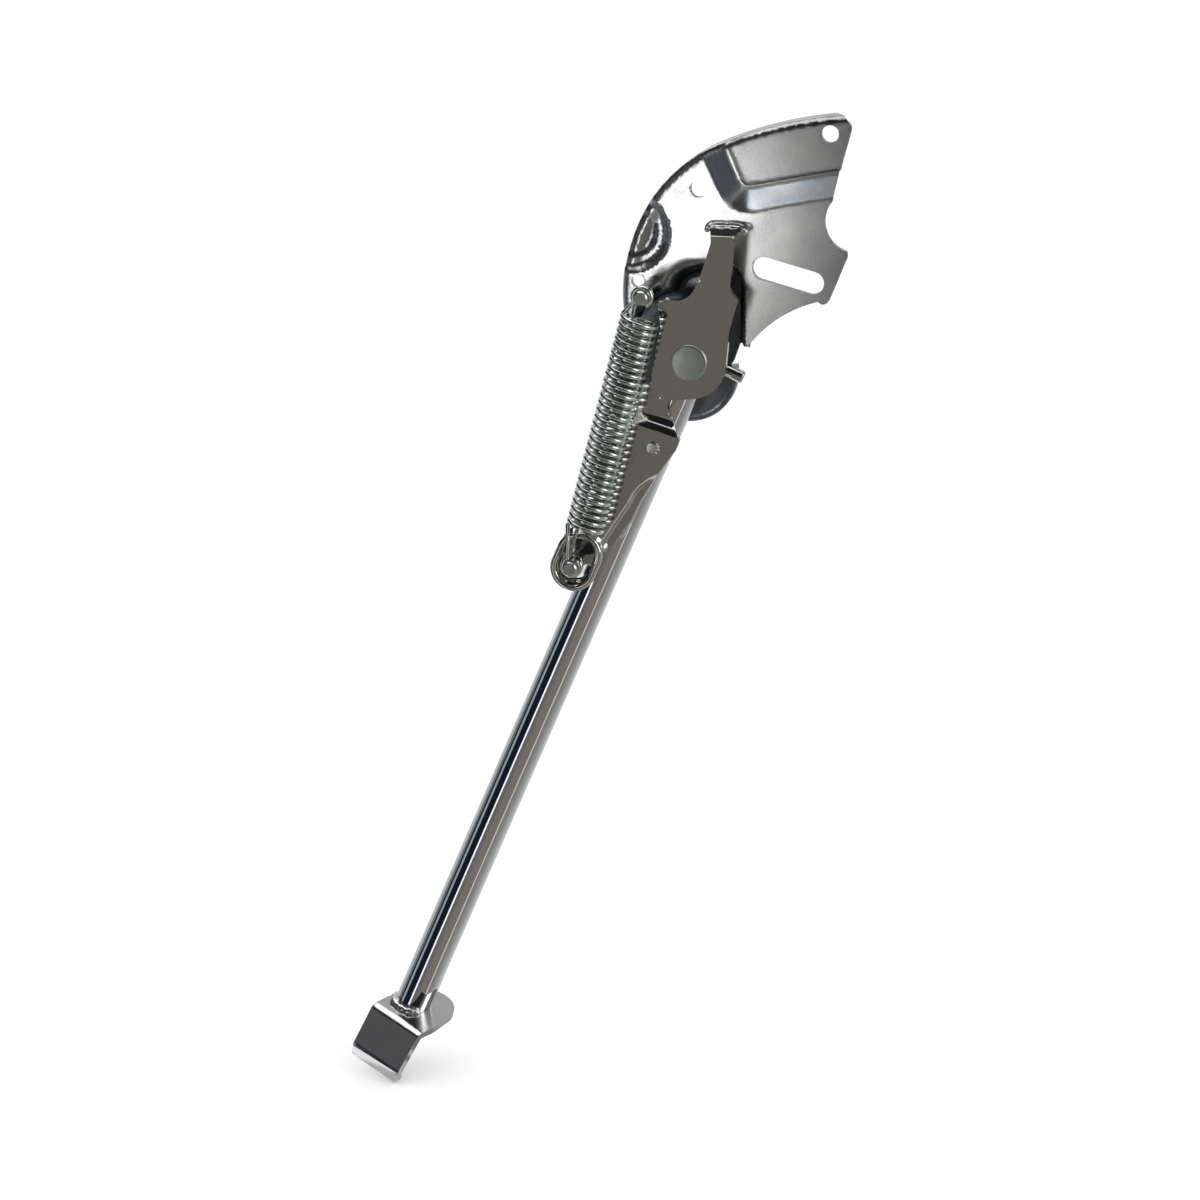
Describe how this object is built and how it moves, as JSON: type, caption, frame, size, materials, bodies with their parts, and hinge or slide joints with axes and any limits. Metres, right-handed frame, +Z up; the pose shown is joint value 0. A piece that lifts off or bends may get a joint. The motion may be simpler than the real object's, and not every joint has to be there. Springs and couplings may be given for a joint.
{
  "type": "bicycle rear side stand",
  "caption": "Chromed side stand for a rear axle: pressed bracket with axle slot, tube leg with bent foot, and two nested springs that hold it down or folded back.",
  "frame": {"origin": "middle of the axle slot on the bracket's back face", "axes": "+X rearward along the wheel's plane, +Y towards the wheel, +Z up with the leg down"},
  "size_m": [0.219, 0.0491, 0.4301],
  "materials": {
    "chrome_plate": "polished",
    "satin_plate": "satin",
    "zinc": "matte",
    "spring_wire": "satin",
    "weld": "rough"
  },
  "bodies": {
    "bracket": {"bracket_plate": "satin_plate", "fork_plate": "chrome_plate", "neck_weld": "weld", "pivot_rivet": "zinc", "spring_post": "zinc"},
    "leg": {"leg_tube": "chrome_plate", "pivot_bush": "zinc", "stop_peg": "zinc", "spring_arm": "chrome_plate", "arm_rivet": "chrome_plate", "arm_weld": "weld", "anchor_pin": "zinc", "foot_plate": "chrome_plate", "foot_weld": "weld"},
    "spring_head": {"outer_spring": "spring_wire"},
    "spring_tail": {"inner_spring": "spring_wire"}
  },
  "joints": [
    {"name": "leg_swing", "type": "hinge", "parent": "bracket", "child": "leg", "pos_m": [-0.0388, 0, -0.0353], "axis": [0, -1, 0], "range_deg": [0, 98], "stiffness_Nm_per_rad": 1.5, "springref_deg": -34.38},
    {"name": "spring_swing", "type": "hinge", "parent": "bracket", "child": "spring_head", "pos_m": [-0.0566, -0.028, -0.006], "axis": [0, -1, 0], "range_deg": [0, 74.8]},
    {"name": "spring_stretch", "type": "slide", "parent": "spring_head", "child": "spring_tail", "axis": [-0.2479, 0, -0.9688], "range_m": [0, 0.00788], "deforming": ["outer_spring", "inner_spring"]}
  ],
  "couplings": [
    {"joint": "spring_swing", "follows": "leg_swing", "ratio": 0.75854},
    {"joint": "spring_stretch", "follows": "leg_swing", "m_per_rad": 0.0045496}
  ]
}
